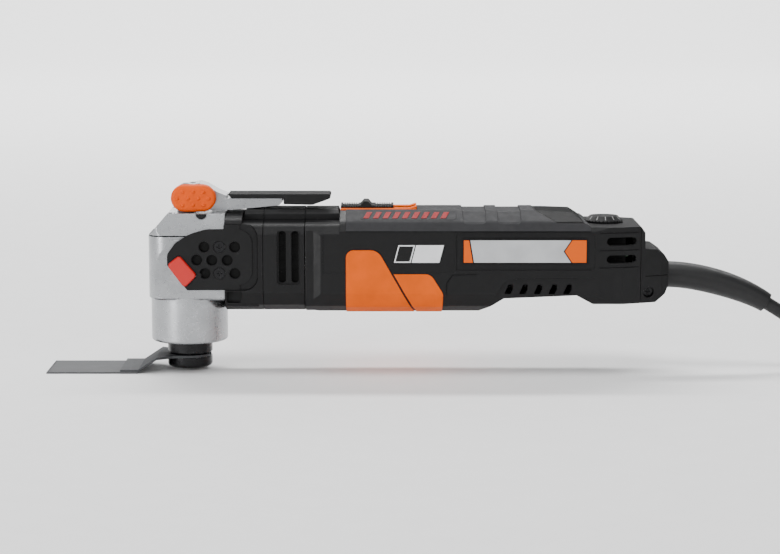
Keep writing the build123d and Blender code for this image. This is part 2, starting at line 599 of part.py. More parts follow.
def make_clamp_spring():
    """A stack of disc springs between the spindle's top and the collar on the clamp pin."""
    discs = []
    for i in range(5):
        z = SPINDLE_TOP + 0.1 + i * 1.1
        discs.append(tube_z(z, z + 1.0, 6.4, PIN_R + 0.3))
    return discs


# ---- motor --------------------------------------------------------------------------------------
def make_rotor_shaft():
    shaft = rod_x(33.6, 163.0, 0, MOTOR_Z, SHAFT_R)
    shaft = shaft + rod_x(24.4, 33.8, 0, MOTOR_Z + ECCENTRICITY, 3.0)
    return shaft


def make_counterweight():
    weight = tube_x(34.0, 37.6, MOTOR_Z, 10.5, SHAFT_R)
    return weight - block(33, 39, -20, 20, MOTOR_Z + 5.0, MOTOR_Z + 20)


def make_fan():
    fan = tube_x(57.0, 59.0, MOTOR_Z, 21.0, SHAFT_R) + tube_x(50.5, 59.0, MOTOR_Z, 7.0, SHAFT_R)
    for i in range(FAN_BLADES):
        blade = block(51.0, 58.0, -0.7, 0.7, 6.5, 20.6)
        fan = fan + Pos(0, 0, MOTOR_Z) * Rot(360 / FAN_BLADES * i, 0, 0) * blade
    return fan


def make_armature_core():
    core = rod_x(76.0, 120.0, 0, MOTOR_Z, ARMATURE_R)
    for i in range(ARMATURE_SLOTS):
        slot = block(75, 121, -0.7, 0.7, ARMATURE_R - 3.4, ARMATURE_R + 1)
        core = core - Pos(0, 0, MOTOR_Z) * Rot(360 / ARMATURE_SLOTS * i, 0, 0) * slot
    return core - rod_x(70, 125, 0, MOTOR_Z, SHAFT_R)


def make_windings():
    ends = []
    for x0, x1 in ((67.5, 75.9), (120.1, 129.0)):
        coil = tube_x(x0, x1, MOTOR_Z, 11.8, SHAFT_R)
        rims = coil.edges().filter_by(GeomType.CIRCLE).filter_by(lambda e: e.radius > 11)
        ends.append(fillet(rims, 2.4))
    return ends


def make_commutator():
    bars = tube_x(131.0, 145.0, MOTOR_Z, 9.0, SHAFT_R)
    for i in range(ARMATURE_SLOTS):
        gap = block(130, 143.5, -0.2, 0.2, 8.2, 10)
        bars = bars - Pos(0, 0, MOTOR_Z) * Rot(360 / ARMATURE_SLOTS * i, 0, 0) * gap
    return bars


def make_stator():
    ring = tube_x(78.0, 118.0, MOTOR_Z, STATOR_R, ARMATURE_R + 0.7)
    for sign in (-1, 1):
        window = block(77, 119, -14, 14, sign * COIL_OFFSET - 1.6, sign * COIL_OFFSET + 1.6)
        ring = ring - Pos(0, 0, MOTOR_Z) * window
    return ring


def make_field_coils():
    coils = []
    for sign in (-1, 1):
        pad = block(73.0, 123.0, -13.6, 13.6, sign * COIL_OFFSET - 1.4, sign * COIL_OFFSET + 1.4)
        hole = block(80.0, 116.0, -9.0, 9.0, sign * COIL_OFFSET - 3, sign * COIL_OFFSET + 3)
        coils.append(Pos(0, 0, MOTOR_Z) * (pad - hole))
    return coils


def make_brush_gear():
    holder = block(BRUSH_X[0] - 1.4, BRUSH_X[1] + 1.4, -24.4, -10.8, MOTOR_Z - 5.4, MOTOR_Z + 5.4)
    holder = holder - block(BRUSH_X[0], BRUSH_X[1], -23.2, -5, MOTOR_Z - 4.0, MOTOR_Z + 4.0)
    brush = block(BRUSH_X[0] + 0.05, BRUSH_X[1] - 0.05, -18.4, -9.4, MOTOR_Z - 3.95, MOTOR_Z + 3.95)
    middle = (BRUSH_X[0] + BRUSH_X[1]) / 2
    spring = Pos(middle, -18.8, MOTOR_Z) * Rot(90, 0, 0) * make_coil_spring(2.4, 0.3, 4.0, 4)
    return both_sides(holder), both_sides(brush), both_sides(spring)


def make_bearing(x0, x1, z, r_out, r_in):
    """A deep-groove ball bearing as one closed ring with grooved side faces."""
    ring = tube_x(x0, x1, z, r_out, r_in)
    middle = (r_out + r_in) / 2
    for x in (x0, x1):
        ring = ring - tube_x(x - 0.5, x + 0.5, z, middle + 0.9, middle - 0.9)
    return ring


def make_bearing_plate():
    plate = front_form(43.2, 49.2, 3.3) & rod_x(43.2, 49.2, 0, MOTOR_Z, 24.5)
    plate = plate - rod_x(44.4, 51, 0, MOTOR_Z, 21.6)
    plate = plate + tube_x(43.2, 49.2, MOTOR_Z, 13.0, 10.9)
    return plate - rod_x(40, 50, 0, MOTOR_Z, 5.6)


# ---- switch, dial, electronics ------------------------------------------------------------------


def make_switch_bezel():
    bezel = block(BEZEL_X[0] + 0.2, 127.0, -10.5, 10.5, BODY_TOP - 0.85, SWITCH_TOP)
    bezel = chamfer(bezel.edges().filter_by(lambda e: e.center().Z > SWITCH_TOP - 0.01), 0.4)
    curl = outline([(122.6, SWITCH_TOP - 0.2), (127.0, SWITCH_TOP - 0.2), (127.0, SWITCH_TOP + 1.0),
                    (126.2, SWITCH_TOP + 1.0)])
    bezel = bezel + side_prism(curl, -10.0, 10.0)
    return bezel - block(86.4, 126.2, -3.6, 3.6, 70, 90)


def make_slider():
    profile = outline([(85.0, SWITCH_TOP + 0.15), (85.0, 83.8), (95.9, 83.8), (97.8, 86.0), (100.2, 86.0),
                       (102.2, 83.8), (114.2, 83.8), (114.2, SWITCH_TOP + 0.15)], 0.2)
    slider = side_prism(profile, -7.6, 7.6)
    for i in range(7):
        for start in (86.2, 104.4):
            x = start + 1.3 * i
            slider = slider - block(x, x + 0.7, -8, 8, 83.1, 84)
    return slider + block(94.0, 104.0, -3.2, 3.2, 76.8, SWITCH_TOP + 0.2)


def make_switch_link():
    return block(94.0, 168.0, -3.2, 3.2, 74.6, 76.75) + block(165.4, 168.0, -3.2, 3.2, 70.6, 75.0)


def make_micro_switch():
    case = block(180.0, 203.0, -8, 8, 56.0, 74.0)
    return case + rod_x(178.4, 180.1, 0, 72.6, 1.6)


def make_dial():
    r_top = 7.3
    dial = rod_z(DIAL_X, 0, DIAL_Z[0], DIAL_Z[1], DIAL_R)
    dial = chamfer(dial.edges().filter_by(lambda e: e.center().Z > DIAL_Z[1] - 0.01), DIAL_R - r_top - 0.6)
    for i in range(DIAL_NOTCHES):
        angle = math.radians(360 / DIAL_NOTCHES * i)
        dial = dial - Pos(DIAL_X, 0, 0) * rod_z(DIAL_R * math.cos(angle), DIAL_R * math.sin(angle),
                                                DIAL_Z[0] - 1, DIAL_Z[1] + 1, 0.45)
    return dial + rod_z(DIAL_X, 0, 62.5, DIAL_Z[0] + 0.1, 2.5)


def make_speed_board():
    board = block(206.0, 244.0, -14, 14, 56.0, 57.6)
    board = board + block(208.0, 222.0, -10, 10, 57.6, 64.0)
    pot = block(226.4, 236.4, -5.5, 5.5, 57.6, 64.5) - rod_z(DIAL_X, 0, 60.0, 70, 2.6)
    return board + pot


def make_badge():
    x0, x1, z0, z1 = BADGE
    plate = outline([(x0, z0), (x1, z0), (x1, z1), (x0, z1)], 0.4)
    return side_prism(plate, -BODY_HALF - 0.1, -BODY_HALF + RECESS_DEPTH)


def make_label():
    plate = outline([(113.8, 54.2), (139.6, 54.2), (142.4, 64.6), (116.2, 64.6)], 0.6)
    return side_prism(plate, -BODY_HALF - 0.1, -BODY_HALF + PANEL_DEPTH)


# ---- cord ---------------------------------------------------------------------------------------


def arc_radii(points):
    """The largest tangent arc at each inner point of a route."""
    radii = []
    for a, b, c in zip(points, points[1:], points[2:]):
        first = Vector(b) - Vector(a)
        second = Vector(c) - Vector(b)
        turn = math.radians(first.get_angle(second))
        radii.append(0.45 * min(first.length, second.length) / math.tan(turn / 2))
    return radii


def make_strain_relief():
    rings = []
    for i, (x, z) in enumerate(RELIEF_POINTS):
        before = RELIEF_POINTS[max(i - 1, 0)]
        after = RELIEF_POINTS[min(i + 1, len(RELIEF_POINTS) - 1)]
        heading = Vector(after[0] - before[0], 0, after[1] - before[1])
        if i == 0:
            heading = Vector(1, 0, -0.02)
        if i == len(RELIEF_POINTS) - 1:
            heading = Vector(*CORD_ROUTE[1]) - Vector(*CORD_ROUTE[0])
        frame = Plane(origin=(x, 0, z), x_dir=(0, 1, 0), z_dir=heading.normalized())
        rings.append(frame * Circle(RELIEF_RADII[i]))
    boot = loft(rings)
    return boot + rod_x(262.2, TAIL_X + 0.2, 0, EXIT_Z, 6.5)


def make_cord():
    radii = arc_radii(CORD_ROUTE)
    path = FilletPolyline(*CORD_ROUTE, radius=radii)
    start = Vector(*CORD_ROUTE[1]) - Vector(*CORD_ROUTE[0])
    profile = Plane(origin=CORD_ROUTE[0], z_dir=start.normalized()) * Circle(CORD_R)
    cord = sweep(profile, path=path)
    expected = math.pi * CORD_R ** 2 * path.length
    print("cord arcs", [round(r, 1) for r in radii], "length", round(path.length, 1),
          "volume ratio", round(cord.volume / expected, 4))
    return cord


def make_hank():
    """The folded runs: drawn in by the tie, and wider and higher at the end loops."""
    x0, x1, half, height = HANK
    middle = (x0 + x1) / 2
    waist_half, waist_height = HANK_WAIST
    plan = []
    for side in (-1, 1):
        for along, width, corner in ((x0 - middle, half, 20.0), (-32, half, 10.0), (-9, waist_half, 10.0),
                                     (9, waist_half, 10.0), (32, half, 10.0), (x1 - middle, half, 20.0)):
            plan.append((middle - side * along, side * width, corner))
    low = FLOOR_Z + 0.1
    side_view = [(x0, low, 0.5), (x1, low, 0.5)]
    for x, z, corner in ((x1, height, 4.0), (x1 - 22, height, 8.0), (x1 - 44, waist_height, 8.0),
                         (x0 + 44, waist_height, 8.0), (x0 + 22, height, 8.0), (x0, height, 4.0)):
        side_view.append((x, FLOOR_Z + z, corner))
    return plan_prism(outline(plan), -20, 40) & side_prism(outline(side_view), -40, 40)


def make_tie():
    """A strap round the waist of the hank."""
    half, height = HANK_WAIST
    middle = (HANK[0] + HANK[1]) / 2
    outer = block(middle - 6, middle + 6, -half - 1.6, half + 1.6, FLOOR_Z + 0.05, FLOOR_Z + height + 1.6)
    outer = fillet(outer.edges().filter_by(Axis.X), 4.0)
    inner = block(middle - 7, middle + 7, -half - 0.1, half + 0.1, FLOOR_Z - 5, FLOOR_Z + height + 0.1)
    return outer - inner


def make_plug():
    x0, x1 = PLUG_X
    z = PLUG_Z
    face = make_face(Polyline((x0 + 10, -7), (x0 + 22, -17.5), (x1, -17.5), (x1, 17.5), (x0 + 22, 17.5),
                              (x0 + 10, 7), close=True))
    body = plan_prism(fillet(face.vertices(), 2.5), z - 7.9, z + 7.9)
    sleeve = rod_x(x0, x0 + 14, 0, z, 5.4)
    body = body + sleeve
    return body - rod_x(x0 - 1, x0 + 6, 0, z, CORD_R)


def make_plug_pins():
    z = PLUG_Z
    pins = []
    for y in (-PLUG_PIN_Y, PLUG_PIN_Y):
        pin = rod_x(PLUG_X[1], PLUG_X[1] + PLUG_PIN_LENGTH, y, z, 2.4)
        pins.append(fillet(pin.edges().filter_by(lambda e: e.center().X > PLUG_X[1] + 1), 1.2))
    return pins


def make_tail_screws():
    return both_sides(screw_y(TAIL_SCREW[0], TAIL_SCREW[1], 15.5, 11.0, 2.9))


def make_button_springs():
    """Coil springs between the lock buttons' stems and the bottoms of their bores."""
    coil = make_coil_spring(1.1, 0.22, 2.0, 3)
    return both_sides(Pos(STEM_X, -STEM_BORE_END - 0.3, LEVER_PIVOT[1]) * Rot(90, 0, 0) * coil)


# ---- write every node ---------------------------------------------------------------------------
def main():
    grips = make_grips()
    left, right, tail = make_housing(grips)
    for name, grip in grips.items():
        save(name, finish_top_grip(grip) if name == "top_grip" else grip)
    save("housing_left", left)
    save("housing_right", right)
    save("tail_cover", tail)
    save("rear_top_cover", rear_cover_form() - rod_z(DIAL_X, 0, 60, 95, DIAL_R + 0.4))
    save("gear_head", make_gear_head())
    save("gear_head_cap", make_cap())
    save("catch_bar", make_catch_bar())
    save("cap_screws", *make_cap_screws())
    save("side_plates", *both_sides(make_side_plate()))
    save("lamp_lenses", *both_sides(make_lens()))
    save("plate_screws", *make_plate_screws())
    save("front_collar", make_collar())
    save("fan_housing", make_fan_housing())
    save("spine_cover", make_spine())
    save("lever_body", make_lever())
    save("lever_pad", make_lever_pad())
    save("lever_hinge_pin", rod_y(LEVER_PIVOT[0], -9.0, 9.0, LEVER_PIVOT[1], HINGE_PIN_R))
    button_left = make_button(BUTTON_R, 2.0)
    button_right = mirror(make_button(SMALL_BUTTON_R, 1.4), about=Plane.XZ)
    save("lock_button_left", button_left)
    save("lock_button_right", button_right)
    save("clamp_pin", make_clamp_pin())
    save("clamp_spring", *make_clamp_spring())
    save("blade_holder", make_blade_holder())
    save("blade_strip", make_blade_strip())
    save("spindle", make_spindle())
    save("fork", make_fork())
    save("spindle_bearings", tube_z(15.1, 22.0, 10.95, SPINDLE_R + 0.05),
         tube_z(61.0, 65.6, 9.5, SPINDLE_R + 0.05))
    save("spindle_seal", tube_z(9.7, 13.0, 8.95, SPINDLE_R + 0.3))
    save("rotor_shaft", make_rotor_shaft())
    save("counterweight", make_counterweight())
    save("drive_bearing", make_bearing(25.2, 32.2, MOTOR_Z + ECCENTRICITY, DRIVE_BEARING_R, 3.0))
    save("rotor_bearings", make_bearing(44.45, 49.0, MOTOR_Z, 10.85, SHAFT_R + 0.05),
         make_bearing(150.0, 156.0, MOTOR_Z, 9.5, SHAFT_R + 0.05))
    save("bearing_plate", make_bearing_plate())
    save("cooling_fan", make_fan())
    save("armature_core", make_armature_core())
    save("armature_windings", *make_windings())
    save("commutator", make_commutator())
    save("stator_core", make_stator())
    save("field_coils", *make_field_coils())
    holders, brushes, springs = make_brush_gear()
    save("brush_holders", *holders)
    save("carbon_brushes", *brushes)
    save("brush_springs", *springs)
    save("switch_bezel", make_switch_bezel())
    save("switch_slider", make_slider())
    save("switch_link", make_switch_link())
    save("micro_switch", make_micro_switch())
    save("speed_dial", make_dial())
    save("speed_board", make_speed_board())
    save("badge_plates", *both_sides(make_badge()))
    save("label_plates", *both_sides(make_label()))
    save("tail_screws", *make_tail_screws())
    save("lock_button_springs", *make_button_springs())
    save("strain_relief", make_strain_relief())
    save("cord", make_cord())
    save("cord_hank", make_hank())
    save("cord_tie", make_tie())
    save("plug_body", make_plug())
    save("plug_pins", *make_plug_pins())


main()
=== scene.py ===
import math

import bpy
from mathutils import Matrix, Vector


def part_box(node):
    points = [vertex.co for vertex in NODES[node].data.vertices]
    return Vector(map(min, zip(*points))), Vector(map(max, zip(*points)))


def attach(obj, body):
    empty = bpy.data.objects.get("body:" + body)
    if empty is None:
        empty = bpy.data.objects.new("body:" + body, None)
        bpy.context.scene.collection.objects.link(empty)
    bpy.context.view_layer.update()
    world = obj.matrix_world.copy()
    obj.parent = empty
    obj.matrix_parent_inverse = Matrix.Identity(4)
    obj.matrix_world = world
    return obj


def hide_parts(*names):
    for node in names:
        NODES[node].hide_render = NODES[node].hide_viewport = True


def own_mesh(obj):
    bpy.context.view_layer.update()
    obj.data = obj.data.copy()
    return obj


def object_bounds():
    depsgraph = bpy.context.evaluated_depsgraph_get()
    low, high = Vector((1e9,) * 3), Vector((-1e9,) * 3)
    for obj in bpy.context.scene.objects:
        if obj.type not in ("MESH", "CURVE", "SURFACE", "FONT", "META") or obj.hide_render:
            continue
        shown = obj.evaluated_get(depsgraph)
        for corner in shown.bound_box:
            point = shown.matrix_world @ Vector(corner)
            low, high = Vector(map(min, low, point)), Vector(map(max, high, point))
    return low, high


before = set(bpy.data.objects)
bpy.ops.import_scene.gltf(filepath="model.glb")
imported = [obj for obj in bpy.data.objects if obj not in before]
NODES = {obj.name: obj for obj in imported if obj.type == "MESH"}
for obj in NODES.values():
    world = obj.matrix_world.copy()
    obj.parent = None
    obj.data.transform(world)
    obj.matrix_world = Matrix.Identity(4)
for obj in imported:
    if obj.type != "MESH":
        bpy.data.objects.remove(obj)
CAD_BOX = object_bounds()
MM = 0.001

# ---------------------------------------------------------------- camera

TARGET = Vector((112.3, 0.0, 42.6)) * MM    # what the middle of the picture shows
DISTANCE = 1.241                            # from the target, metres
ELEVATION = math.radians(8.2)               # how far the camera looks down
LENS = 102.3                                # focal length, mm
SENSOR_WIDTH = 36.0                         # mm
CLIP_END = 20.0                             # metres


def make_camera():
    """A camera level with the tool's side, looking slightly down on it."""
    camera = bpy.data.objects.new("camera", bpy.data.cameras.new("camera"))
    camera.data.lens = LENS
    camera.data.sensor_width = SENSOR_WIDTH
    camera.data.clip_end = CLIP_END
    camera.location = TARGET + DISTANCE * Vector((0, -math.cos(ELEVATION), math.sin(ELEVATION)))
    camera.rotation_euler = (math.pi / 2 - ELEVATION, 0, 0)
    bpy.context.scene.collection.objects.link(camera)
    bpy.context.scene.camera = camera


# ---------------------------------------------------------------- cord

CORD_R = 3.75 * MM
CORD_D = 2 * CORD_R
CORD_ROUNDNESS = 5               # Blender's bevel resolution
CORD_SMOOTHNESS = 6              # Blender's steps between two points
SPACING = 1.02 * CORD_D          # between the lines of neighbouring turns
TURNS = ((0, 0), (1, 0), (1, 1), (0, 1), (1, 2), (0, 2))   # lane (0 inner, 1 outer) and layer
TOP_LANE = (0, 3)                # where the last turn ends
TIE_PINCH = 6.0 * MM             # how far the tie draws the two bundles of runs together
TIE_REACH = 20.0 * MM            # how far from the tie the runs spread again
TIE_GRIP = 1.5                   # runs beyond 1 / TIE_GRIP of the half width are drawn in fully
RAISE = (34.0 * MM, 56.0 * MM)   # from the hank's middle, where its ends start and finish rising
RUN = (-34, -18, -2, 14, 30)     # points of a straight run, mm from the hank's middle
FIRST_RUN_X = 22                 # where the lead joins its first turn, mm from the hank's middle
LOOP_STEPS = 7                   # parts of the half loop at each end
BEFORE_PLUG = (3.0, 1.6)         # mm from the plug's mouth to the point before it: back and down
INTO_PLUG = 5.5                  # mm that the lead goes into the plug

# The lead's middle line from the strain relief to the surface, mm.
FREE_ROUTE = [(323.0, 0.0, 28.2), (341.0, 0.0, 17.2), (357.0, 0.4, 6.2), (372.0, 0.6, -1.8),
              (386.0, 0.8, -5.2), (398.0, 0.8, -5.2)]
# The lead's way into the hank, and out of it: along and across from the middle of the hank in mm,
# and for the way out the layer.
WAY_IN = [(-60, 1.2), (-46, 3.0), (-30, 7.0), (-13, 13.0), (4, 20.0)]
WAY_OUT = [(-28, 17.0, 2.4), (-14, 13.0, 1.7), (0, 8.0, 1.0), (14, 4.0, 0.4), (28, 1.4, 0.02),
           (42, 0.2, 0.0), (56, 0.0, 0.05)]


def smooth(t):
    """Eases from 0 to 1 as t goes from 0 to 1, and stays there outside."""
    t = min(max(t, 0.0), 1.0)
    return t * t * (3 - 2 * t)


def hank_points():
    """The lead in, the turns of the hank, and the way out to the plug, all in metres."""
    low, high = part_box("cord_hank")
    middle = (low[0] + high[0]) / 2
    reach = (high[0] - low[0]) / 2 - CORD_R
    outer = (high[1] - low[1]) / 2 - CORD_R
    floor = FREE_ROUTE[-1][2] * MM

    def place(x, y, layer, raised=1.0):
        """A point x along from the middle of the hank, on its side at y, drawn in by the tie."""
        lift = raised * smooth((abs(x) - RAISE[0]) / (RAISE[1] - RAISE[0]))
        pinch = TIE_PINCH * math.exp(-(x / TIE_REACH) ** 2) * min(abs(y) / outer * TIE_GRIP, 1.0)
        return (middle + x, y - math.copysign(pinch, y), floor + SPACING * (layer + lift))

    def lane(kind, layer):
        """Half the width and half the length of a lane's oval, and its layer."""
        inset = (1 - kind) * SPACING
        return outer - inset, reach - inset, layer

    def half_loop(side, start, finish):
        """Round one end, from one lane's width, reach and layer to the next one's."""
        points = []
        for i in range(LOOP_STEPS + 1):
            done = i / LOOP_STEPS
            width, length, layer = (a + (b - a) * smooth(done) for a, b in zip(start, finish))
            angle = math.pi * (0.5 - done)
            x = side * (length - width + width * math.cos(angle))
            points.append(place(x, side * width * math.sin(angle), layer))
        return points

    def straight(side, kind, layer):
        """A run along one side of the hank, in the direction of travel."""
        width = lane(kind, layer)[0]
        return [place(side * x * MM, side * width, layer) for x in RUN]

    points = [place(x * MM, y * MM, 0, 0.0) for x, y in WAY_IN]
    points.append(place(FIRST_RUN_X * MM, lane(*TURNS[0])[0], 0))
    for number, (turn, following) in enumerate(zip(TURNS, (*TURNS[1:], TOP_LANE))):
        if number:
            points += straight(1, *turn)
        points += half_loop(1, lane(*turn), lane(*turn))
        points += straight(-1, *turn)
        points += half_loop(-1, lane(*turn), lane(*following))
    points += [place(x * MM, y * MM, layer, 0.0) for x, y, layer in WAY_OUT]
    low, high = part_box("plug_body")
    mouth = (low[2] + high[2]) / 2
    back, down = BEFORE_PLUG
    points.append((low[0] - back * MM, 0.0, mouth - down * MM))
    points.append((low[0] + INTO_PLUG * MM, 0.0, mouth))
    return points


def make_cord(finish):
    """The whole lead as one tube, from the strain relief to the plug."""
    route = [tuple(c * MM for c in point) for point in FREE_ROUTE] + hank_points()
    data = bpy.data.curves.new("mains_lead", "CURVE")
    data.dimensions = "3D"
    data.bevel_depth = 1.0      # the points' own radius sets the tube's, which keeps the box true
    data.bevel_resolution = CORD_ROUNDNESS
    data.resolution_u = CORD_SMOOTHNESS
    spline = data.splines.new("NURBS")
    spline.points.add(len(route) - 1)
    for point, place in zip(spline.points, route):
        point.co = (*place, 1.0)
        point.radius = CORD_R
    spline.order_u = 3
    spline.use_endpoint_u = True
    data.materials.append(finish.material)
    lead = bpy.data.objects.new("mains_lead", data)
    bpy.context.scene.collection.objects.link(lead)
    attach(lead, "housing")
    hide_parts("cord", "cord_hank")


# ---------------------------------------------------------------- materials

# Colours are linear. rough is (mean, spread), and grain is (features per metre, height in mm).
# gleam is the specular level, and matt_edge is whether the gloss fades where a face is edge-on.
ORANGE = (0.68, 0.098, 0.0004)
SILVER = (0.38, 0.388, 0.40)
PALE_SILVER = (0.50, 0.51, 0.52)
INK = (0.004, 0.004, 0.004)
WHITE = (0.72, 0.73, 0.74)
LENS_FACE = (0.50, 0.024, 0.020)
DIAL_INK = (0.30, 0.30, 0.30)
FINISHES = {
    "cast_silver": dict(color=SILVER, metallic=0.9, rough=(0.30, 0.05), grain=(2600, 0.006),
                        matt_edge=False),
    "black_plastic": dict(color=(0.0052, 0.0052, 0.0056), rough=(0.44, 0.08), grain=(1400, 0.045),
                          gleam=0.22),
    # A darker copy of the black plastic for the up-facing rear top cover: painted shade, with less
    # gleam as well.
    "cover_plastic_painted_shade": dict(color=(0.003, 0.003, 0.0032), rough=(0.40, 0.06), grain=(1400, 0.030),
                          gleam=0.07),
    "soft_grip": dict(color=(0.026, 0.026, 0.028), rough=(0.66, 0.06), grain=(1100, 0.030),
                      gleam=0.20),
    "orange_plastic": dict(color=ORANGE, rough=(0.48, 0.06), grain=(900, 0.022), gleam=0.12),
    "orange_button": dict(color=(0.70, 0.078, 0.0003), rough=(0.40, 0.05), grain=(900, 0.010),
                          gleam=0.14),
    "red_lens": dict(color=(0.46, 0.008, 0.007), rough=(0.36, 0.05), grain=(1200, 0.012),
                     gleam=0.30),
    "stripe_red": dict(color=(0.28, 0.012, 0.014), rough=(0.55, 0.05), grain=(900, 0.01),
                       gleam=0.15),
    # Near-black for painted shade: the sheets behind the openings, the strip in the head's seam and
    # the hole discs.
    "painted_shade_black": dict(color=(0.003, 0.003, 0.003), rough=(0.7, 0.05), grain=(900, 0.03),
                        gleam=0.15),
    "pad_black": dict(color=(0.0040, 0.0040, 0.0043), rough=(0.34, 0.07), grain=(1300, 0.030),
                      gleam=0.28),
    "badge": dict(color=PALE_SILVER, rough=(0.38, 0.05), grain=(1500, 0.008), gleam=0.18),
    "label": dict(color=WHITE, rough=(0.40, 0.05), grain=(900, 0.008), gleam=0.25),
    "bright_steel": dict(color=(0.50, 0.50, 0.51), metallic=1.0, rough=(0.25, 0.08),
                         grain=(900, 0.006), matt_edge=False),
    "dark_steel": dict(color=(0.016, 0.016, 0.017), metallic=0.7, rough=(0.25, 0.06),
                       grain=(1000, 0.010), gleam=0.40, matt_edge=False),
    "blade_steel": dict(color=(0.085, 0.087, 0.090), metallic=0.75, rough=(0.42, 0.07),
                        grain=(1300, 0.010), stretch=(0.12, 1.0, 1.0)),
    "holder_steel": dict(color=(0.058, 0.060, 0.063), metallic=0.75, rough=(0.44, 0.08),
                         grain=(1100, 0.012), stretch=(0.25, 1.0, 1.0)),
    "lamination": dict(color=(0.20, 0.20, 0.21), metallic=0.8, rough=(0.45, 0.10),
                       grain=(1600, 0.05), stretch=(1.0, 0.04, 0.04)),
    "copper": dict(color=(0.62, 0.22, 0.08), metallic=0.85, rough=(0.30, 0.08),
                   grain=(1300, 0.10), stretch=(0.10, 1.0, 1.0)),
    "moulded_inner": dict(color=(0.10, 0.10, 0.11), rough=(0.50, 0.06), grain=(1000, 0.02)),
    "carbon": dict(color=(0.03, 0.03, 0.03), rough=(0.60, 0.08), grain=(2000, 0.02)),
    "board": dict(color=(0.02, 0.12, 0.04), rough=(0.30, 0.06), grain=(800, 0.02)),
    "cord_rubber": dict(color=(0.0065, 0.0065, 0.0070), rough=(0.46, 0.07), grain=(1300, 0.020),
                        gleam=0.35),
    "tie": dict(color=(0.022, 0.022, 0.024), rough=(0.85, 0.05), grain=(1500, 0.25), gleam=0.20),
    "plated_brass": dict(color=(0.70, 0.66, 0.56), metallic=1.0, rough=(0.22, 0.05),
                         grain=(900, 0.004)),
    "floor_paper": dict(color=(0.86, 0.86, 0.86), rough=(0.85, 0.04), grain=(300, 0.02),
                        variation=0.01),
}
GLANCING = 0.35             # how edge-on a moulded face is when its gloss starts to fade, 0 to 1
EDGE_SOFTNESS = 0.35 * MM   # how far the light wraps round a moulded or cast edge
MOTTLE = 70                 # patches of colour per metre
GLOSS_PATCH = 0.25          # features of the uneven gloss, as a share of the grain's
WAVES = 90                  # soft unevenness per metre, and its height
WAVE_HEIGHT = 0.10 * MM
NOISE_RANGE = (0.3, 0.7)    # where nearly all of a noise's values lie

# The badge, in mm: the slopes of its orange wedge and arrow, where they end from its left and
# right edges, the black line beside them, the black frame, and how metallic its silver is.
WEDGE_SLOPE, WEDGE_END = 0.17, 4.7
ARROW_SLOPE, ARROW_TIP = 0.66, 12.6
BADGE_LINE = 0.7
BADGE_FRAME = 0.8
BADGE_METAL = 0.5
# The small label, in mm: its lean per mm of height, its black rim, how far its black field is from
# the edge, where that field ends, and the black line after it.
LABEL_LEAN = 0.26
LABEL_RIM = 0.35
LABEL_FRAME = 1.0
LABEL_FIELD_END = 8.8
LABEL_LINE = (9.45, 10.05)
LENS_FLATNESS = 0.93        # how squarely the lens's face looks sideways, 0 to 1
DIAL_MARKS = 12
DIAL_MARK_WIDTH = 0.10      # share of the way to the next mark
DIAL_RING = (7.7, 9.6)      # from the dial's axis, mm


class Nodes:
    """A small helper for building a material's node tree."""

    paint = None    # the socket that holds the base colour so far

    def __init__(self, name):
        self.material = bpy.data.materials.new(name)
        self.material.use_nodes = True
        self.tree = self.material.node_tree
        self.shader = self.tree.nodes["Principled BSDF"]
        self.place = self.add("ShaderNodeTexCoord").outputs["Object"]

    def add(self, kind, **settings):
        node = self.tree.nodes.new(kind)
        for key, value in settings.items():
            setattr(node, key, value)
        return node

    def link(self, a, b):
        self.tree.links.new(a, b)

    def math(self, operation, a, b=0.0, clamp=False):
        node = self.add("ShaderNodeMath", operation=operation, use_clamp=clamp)
        for socket, value in zip(node.inputs, (a, b)):
            if isinstance(value, (int, float)):
                socket.default_value = value
            else:
                self.link(value, socket)
        return node.outputs[0]

    def noise(self, scale, detail, stretch=(1.0, 1.0, 1.0)):
        mapping = self.add("ShaderNodeMapping")
        mapping.inputs["Scale"].default_value = stretch
        self.link(self.place, mapping.inputs["Vector"])
        node = self.add("ShaderNodeTexNoise")
        node.inputs["Scale"].default_value = scale
        node.inputs["Detail"].default_value = detail
        self.link(mapping.outputs["Vector"], node.inputs["Vector"])
        return node.outputs[0]

    def spread(self, value, low, high):
        """Maps a noise value to the range from low to high."""
        node = self.add("ShaderNodeMapRange")
        node.inputs["From Min"].default_value, node.inputs["From Max"].default_value = NOISE_RANGE
        node.inputs["To Min"].default_value = low
        node.inputs["To Max"].default_value = high
        self.link(value, node.inputs["Value"])
        return node.outputs[0]

    def mix(self, factor, a, b):
        """Goes from a to b, each a socket or a colour, as the factor goes from 0 to 1."""
        node = self.add("ShaderNodeMix", data_type="RGBA")
        self.link(factor, node.inputs[0])
        for socket, value in ((node.inputs[6], a), (node.inputs[7], b)):
            if isinstance(value, tuple):
                socket.default_value = (*value, 1.0)
            else:
                self.link(value, socket)
        return node.outputs[2]

    def coordinates(self):
        """X, Y and Z in the object's own frame, in mm."""
        node = self.add("ShaderNodeSeparateXYZ")
        self.link(self.place, node.inputs[0])
        return [self.math("MULTIPLY", node.outputs[i], 1 / MM) for i in range(3)]

    def either(self, *masks):
        """1 where any of the masks is 1."""
        whole = masks[0]
        for mask in masks[1:]:
            whole = self.math("MAXIMUM", whole, mask)
        return whole

    def both(self, a, b):
        """1 where both masks are 1."""
        return self.math("MULTIPLY", a, b)

    def between(self, value, low, high):
        return self.both(self.math("GREATER_THAN", value, low), self.math("LESS_THAN", value, high))

    def repaint(self, *layers):
        """Paints (mask, colour) layers over the base colour, one over the other."""
        for mask, color in layers:
            self.paint = self.mix(mask, self.paint, color)
        self.link(self.paint, self.shader.inputs["Base Color"])

    def bump(self, height, distance, before):
        """Raises the surface by distance where height is 1, on top of the normal before it."""
        node = self.add("ShaderNodeBump")
        node.inputs["Distance"].default_value = distance
        self.link(height, node.inputs["Height"])
        self.link(before, node.inputs["Normal"])
        return node.outputs["Normal"]


def shade(color, factor):
    """A lighter or darker colour."""
    return tuple(min(c * factor, 1.0) for c in color)


